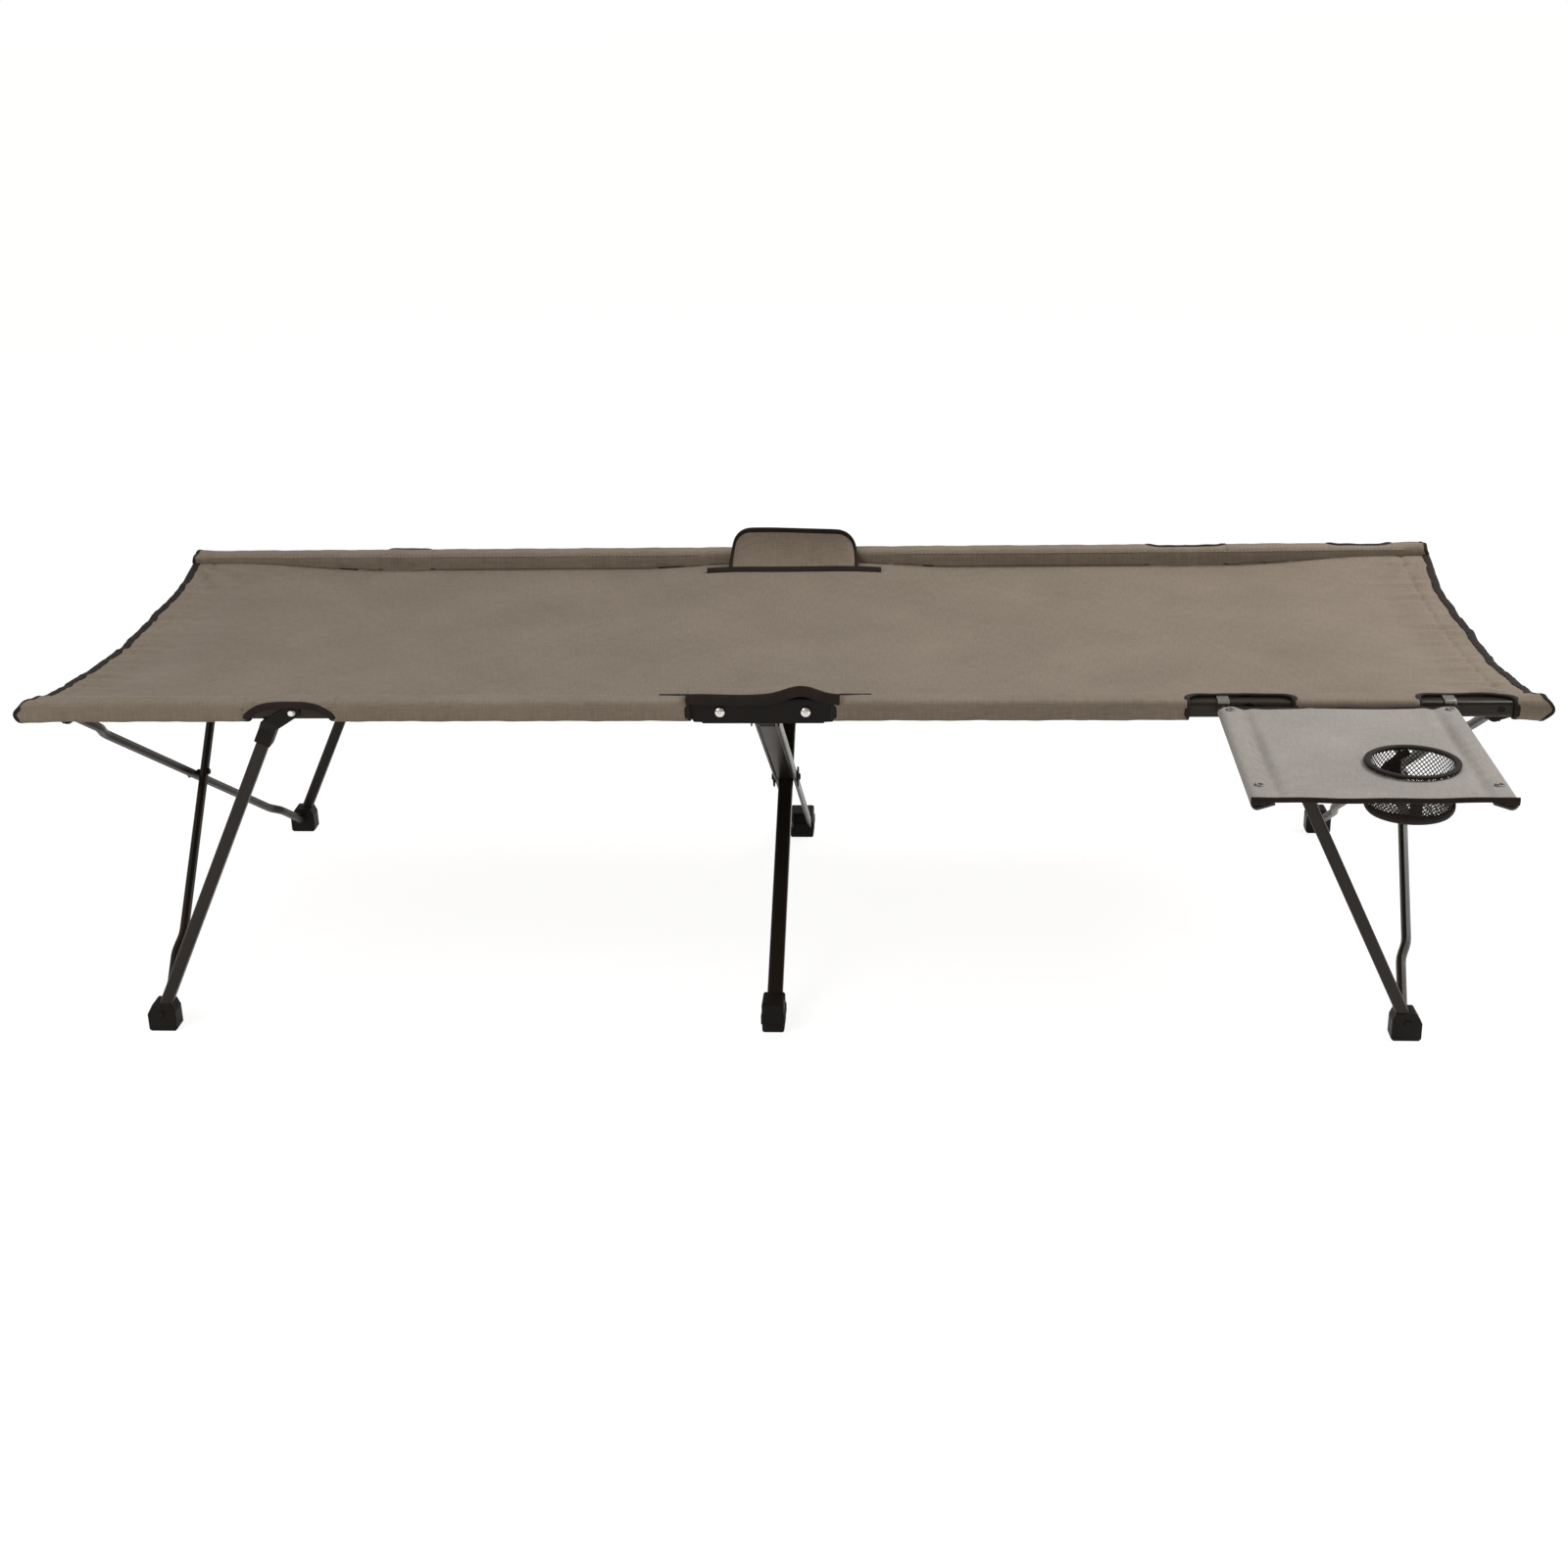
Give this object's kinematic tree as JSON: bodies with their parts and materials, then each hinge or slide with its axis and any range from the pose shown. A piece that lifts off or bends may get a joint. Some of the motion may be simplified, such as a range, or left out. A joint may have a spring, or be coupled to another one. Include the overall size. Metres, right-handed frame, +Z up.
{
  "type": "folding camp cot",
  "caption": "Long folding camp cot: a sagging fabric bed between two side rails on crossed legs, with a small hook-on side table and a mesh cup pocket.",
  "frame": {"origin": "on the floor, under the centre of the overall box, side table included", "axes": "+X along the cot towards the table's end, +Y away from the table's side, +Z up"},
  "size_m": [1.86, 1.037, 0.494],
  "materials": {
    "bed_cloth": "taupe grey woven polyester, matt",
    "table_cloth": "cool grey woven polyester, matt",
    "mesh_net": "black open mesh",
    "binding": "black binding tape",
    "bright_hardware": "zinc plated, bright",
    "dark_frame": "dark brown-black powder coat, satin",
    "black_plastic": "black moulded plastic, slightly grained"
  },
  "bodies": {
    "near_bracket": {"near_center_bracket": "black_plastic", "near_hinge_screws": "bright_hardware", "near_leg_rivet": "bright_hardware", "bed_center": "bed_cloth", "near_flap": "bed_cloth"},
    "twin_leg": {"twin_leg_bar_left": "dark_frame", "twin_leg_bar_right": "dark_frame", "twin_leg_head": "black_plastic", "far_middle_foot": "black_plastic", "middle_crossing_pin": "black_plastic"},
    "box_leg": {"box_leg_tube": "dark_frame", "box_leg_head": "black_plastic", "near_middle_foot": "black_plastic"},
    "far_bracket": {"far_center_bracket": "black_plastic", "far_hinge_screws": "bright_hardware", "far_leg_rivet": "bright_hardware", "far_flap": "bed_cloth"},
    "near_left_rail": {"near_left_rail": "dark_frame", "near_left_end_fitting": "black_plastic", "near_left_knuckle_screw": "bright_hardware", "bed_left": "bed_cloth"},
    "near_left_hub": {"near_left_hub": "black_plastic"},
    "near_left_cross_leg": {"near_left_cross_leg": "dark_frame"},
    "near_left_strut": {"near_left_strut": "dark_frame", "near_left_knuckle": "black_plastic", "near_left_foot": "black_plastic"},
    "near_right_rail": {"near_right_rail": "dark_frame", "near_right_end_fitting": "black_plastic", "near_right_knuckle_screw": "bright_hardware", "bed_right": "bed_cloth"},
    "near_right_hub": {"near_right_hub": "black_plastic"},
    "near_right_cross_leg": {"near_right_cross_leg": "dark_frame", "right_crossing_pin": "black_plastic"},
    "near_right_strut": {"near_right_strut": "dark_frame", "near_right_knuckle": "black_plastic", "near_right_foot": "black_plastic"},
    "far_left_rail": {"far_left_rail": "dark_frame", "far_left_end_fitting": "black_plastic", "far_left_knuckle_screw": "bright_hardware"},
    "far_left_hub": {"far_left_hub": "black_plastic"},
    "far_left_cross_leg": {"far_left_cross_leg": "dark_frame", "left_crossing_pin": "black_plastic"},
    "far_left_strut": {"far_left_strut": "dark_frame", "far_left_knuckle": "black_plastic", "far_left_foot": "black_plastic"},
    "far_right_rail": {"far_right_rail": "dark_frame", "far_right_end_fitting": "black_plastic", "far_right_knuckle_screw": "bright_hardware"},
    "far_right_hub": {"far_right_hub": "black_plastic"},
    "far_right_cross_leg": {"far_right_cross_leg": "dark_frame"},
    "far_right_strut": {"far_right_strut": "dark_frame", "far_right_knuckle": "black_plastic", "far_right_foot": "black_plastic"},
    "table": {"table_arm_left": "dark_frame", "table_arm_right": "dark_frame", "table_spreader": "dark_frame", "table_cloth": "table_cloth", "cup_pocket": "mesh_net", "cup_rim": "binding"}
  },
  "joints": [
    {"name": "width_fold", "type": "hinge", "parent": "near_bracket", "child": "twin_leg", "pos_m": [0, -0.17605, 0.43], "axis": [-1, 0, 0], "range_deg": [0, 50], "deforming": ["bed_center", "bed_left", "bed_right"]},
    {"name": "legs_crossing", "type": "hinge", "parent": "twin_leg", "child": "box_leg", "pos_m": [0, 0.14945, 0.22274], "axis": [1, 0, 0], "range_deg": [0, 100]},
    {"name": "far_bracket_turn", "type": "hinge", "parent": "box_leg", "child": "far_bracket", "pos_m": [0, 0.47495, 0.43], "axis": [-1, 0, 0], "range_deg": [0, 50]},
    {"name": "left_rails_fold", "type": "hinge", "parent": "near_bracket", "child": "near_left_rail", "pos_m": [-0.0525, -0.20055, 0.447], "axis": [0, -1, 0], "range_deg": [0, 60]},
    {"name": "far_left_rail_turn", "type": "hinge", "parent": "far_bracket", "child": "far_left_rail", "pos_m": [-0.0525, 0.49945, 0.447], "axis": [0, -1, 0], "range_deg": [0, 60]},
    {"name": "right_rails_fold", "type": "hinge", "parent": "near_bracket", "child": "near_right_rail", "pos_m": [0.0525, -0.20055, 0.447], "axis": [0, 1, 0], "range_deg": [0, 60]},
    {"name": "far_right_rail_turn", "type": "hinge", "parent": "far_bracket", "child": "far_right_rail", "pos_m": [0.0525, 0.49945, 0.447], "axis": [0, 1, 0], "range_deg": [0, 60]},
    {"name": "near_left_hub_turn", "type": "hinge", "parent": "near_left_rail", "child": "near_left_hub", "pos_m": [-0.884, -0.17605, 0.432], "axis": [0, -1, 0], "range_deg": [0, 77.31]},
    {"name": "near_left_strut_turn", "type": "hinge", "parent": "near_left_rail", "child": "near_left_strut", "pos_m": [-0.586, -0.20055, 0.447], "axis": [0, -1, 0], "range_deg": [0, 112.61]},
    {"name": "near_left_leg_turn", "type": "hinge", "parent": "near_left_hub", "child": "near_left_cross_leg", "pos_m": [-0.884, -0.17605, 0.432], "axis": [-0.9826, 0, -0.1858], "range_deg": [0, 50]},
    {"name": "far_left_hub_turn", "type": "hinge", "parent": "far_left_rail", "child": "far_left_hub", "pos_m": [-0.884, 0.47495, 0.432], "axis": [0, -1, 0], "range_deg": [0, 77.31]},
    {"name": "far_left_strut_turn", "type": "hinge", "parent": "far_left_rail", "child": "far_left_strut", "pos_m": [-0.586, 0.49945, 0.447], "axis": [0, -1, 0], "range_deg": [0, 112.61]},
    {"name": "far_left_leg_turn", "type": "hinge", "parent": "far_left_hub", "child": "far_left_cross_leg", "pos_m": [-0.884, 0.47495, 0.432], "axis": [0.9826, 0, 0.1858], "range_deg": [0, 50]},
    {"name": "near_right_hub_turn", "type": "hinge", "parent": "near_right_rail", "child": "near_right_hub", "pos_m": [0.884, -0.17605, 0.432], "axis": [0, 1, 0], "range_deg": [0, 77.31]},
    {"name": "near_right_strut_turn", "type": "hinge", "parent": "near_right_rail", "child": "near_right_strut", "pos_m": [0.586, -0.20055, 0.447], "axis": [0, 1, 0], "range_deg": [0, 112.61]},
    {"name": "near_right_leg_turn", "type": "hinge", "parent": "near_right_hub", "child": "near_right_cross_leg", "pos_m": [0.884, -0.17605, 0.432], "axis": [-0.9826, 0, 0.1858], "range_deg": [0, 50]},
    {"name": "far_right_hub_turn", "type": "hinge", "parent": "far_right_rail", "child": "far_right_hub", "pos_m": [0.884, 0.47495, 0.432], "axis": [0, 1, 0], "range_deg": [0, 77.31]},
    {"name": "far_right_strut_turn", "type": "hinge", "parent": "far_right_rail", "child": "far_right_strut", "pos_m": [0.586, 0.49945, 0.447], "axis": [0, 1, 0], "range_deg": [0, 112.61]},
    {"name": "far_right_leg_turn", "type": "hinge", "parent": "far_right_hub", "child": "far_right_cross_leg", "pos_m": [0.884, 0.47495, 0.432], "axis": [0.9826, 0, -0.1858], "range_deg": [0, 50]},
    {"name": "table_lift", "type": "slide", "parent": "near_right_rail", "child": "table", "axis": [0, 0, 1], "range_m": [0, 0.035]}
  ],
  "couplings": [
    {"joint": "legs_crossing", "follows": "width_fold", "ratio": 2},
    {"joint": "far_bracket_turn", "follows": "width_fold", "ratio": 1},
    {"joint": "far_left_rail_turn", "follows": "left_rails_fold", "ratio": 1},
    {"joint": "far_right_rail_turn", "follows": "right_rails_fold", "ratio": 1},
    {"joint": "near_left_hub_turn", "follows": "width_fold", "ratio": 1.546},
    {"joint": "near_left_strut_turn", "follows": "width_fold", "ratio": 2.252},
    {"joint": "near_left_leg_turn", "follows": "width_fold", "ratio": 1},
    {"joint": "far_left_hub_turn", "follows": "width_fold", "ratio": 1.546},
    {"joint": "far_left_strut_turn", "follows": "width_fold", "ratio": 2.252},
    {"joint": "far_left_leg_turn", "follows": "width_fold", "ratio": 1},
    {"joint": "near_right_hub_turn", "follows": "width_fold", "ratio": 1.546},
    {"joint": "near_right_strut_turn", "follows": "width_fold", "ratio": 2.252},
    {"joint": "near_right_leg_turn", "follows": "width_fold", "ratio": 1},
    {"joint": "far_right_hub_turn", "follows": "width_fold", "ratio": 1.546},
    {"joint": "far_right_strut_turn", "follows": "width_fold", "ratio": 2.252},
    {"joint": "far_right_leg_turn", "follows": "width_fold", "ratio": 1}
  ]
}
